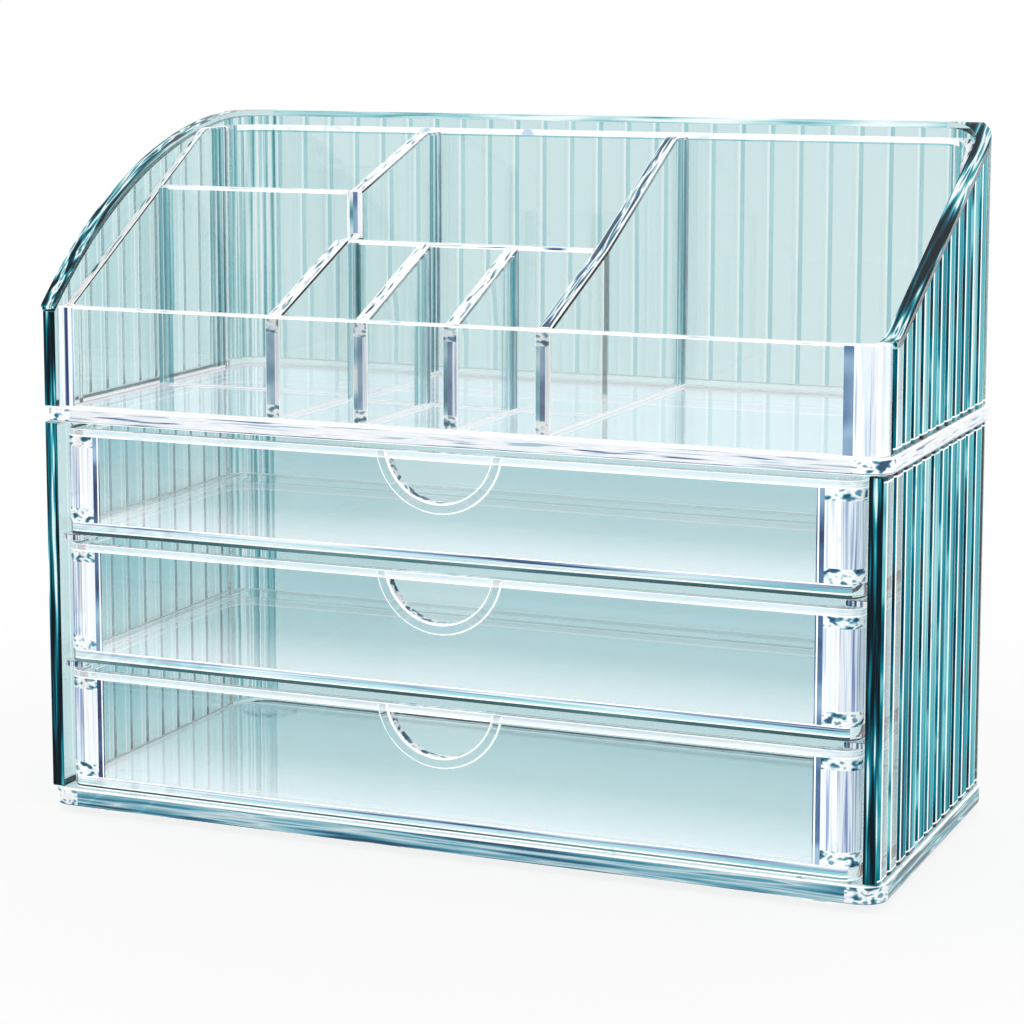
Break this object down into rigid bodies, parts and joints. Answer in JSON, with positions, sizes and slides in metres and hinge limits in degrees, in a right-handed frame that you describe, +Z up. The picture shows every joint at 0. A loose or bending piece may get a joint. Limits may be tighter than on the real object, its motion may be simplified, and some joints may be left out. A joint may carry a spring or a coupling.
{
  "type": "makeup organizer",
  "caption": "Clear and teal-tinted reeded plastic desktop organizer: a cabinet of pull-out drawers with a lift-off divided tray that rises to the rear",
  "frame": {"origin": "on the table, under the middle of the base slab", "axes": "+X left to right seen from the front, +Y from the drawers' fronts to the back, +Z up"},
  "size_m": [0.28, 0.135, 0.2238],
  "materials": {
    "clear_acrylic": "clear polished acrylic",
    "tinted_acrylic": "teal-tinted polished acrylic with moulded vertical reeds",
    "foot_pad": "clear soft pad"
  },
  "bodies": {
    "cabinet": {"cabinet_base": "clear_acrylic", "cabinet_shell": "tinted_acrylic", "runner_lower_left": "clear_acrylic", "runner_lower_right": "clear_acrylic", "runner_upper_left": "clear_acrylic", "runner_upper_right": "clear_acrylic", "foot_front_left": "foot_pad", "foot_front_right": "foot_pad", "foot_rear_left": "foot_pad", "foot_rear_right": "foot_pad"},
    "bottom_drawer": {"drawer_bottom": "clear_acrylic"},
    "middle_drawer": {"drawer_middle": "clear_acrylic"},
    "top_drawer": {"drawer_top": "clear_acrylic"},
    "tray": {"tray_base": "clear_acrylic", "tray_shell": "tinted_acrylic", "tray_front": "clear_acrylic", "liner_left": "clear_acrylic", "liner_rear": "clear_acrylic", "divider_left": "clear_acrylic", "divider_slot_left": "clear_acrylic", "divider_slot_right": "clear_acrylic", "divider_right": "clear_acrylic", "cross_divider_low": "clear_acrylic", "cross_divider_tall": "clear_acrylic"}
  },
  "joints": [
    {"name": "bottom_drawer_slide", "type": "slide", "parent": "cabinet", "child": "bottom_drawer", "axis": [0, -1, 0], "range_m": [0, 0.095]},
    {"name": "middle_drawer_slide", "type": "slide", "parent": "cabinet", "child": "middle_drawer", "axis": [0, -1, 0], "range_m": [0, 0.095]},
    {"name": "top_drawer_slide", "type": "slide", "parent": "cabinet", "child": "top_drawer", "axis": [0, -1, 0], "range_m": [0, 0.095]},
    {"name": "tray_lift", "type": "slide", "parent": "cabinet", "child": "tray", "axis": [0, 0, 1], "range_m": [0, 0.08]}
  ]
}
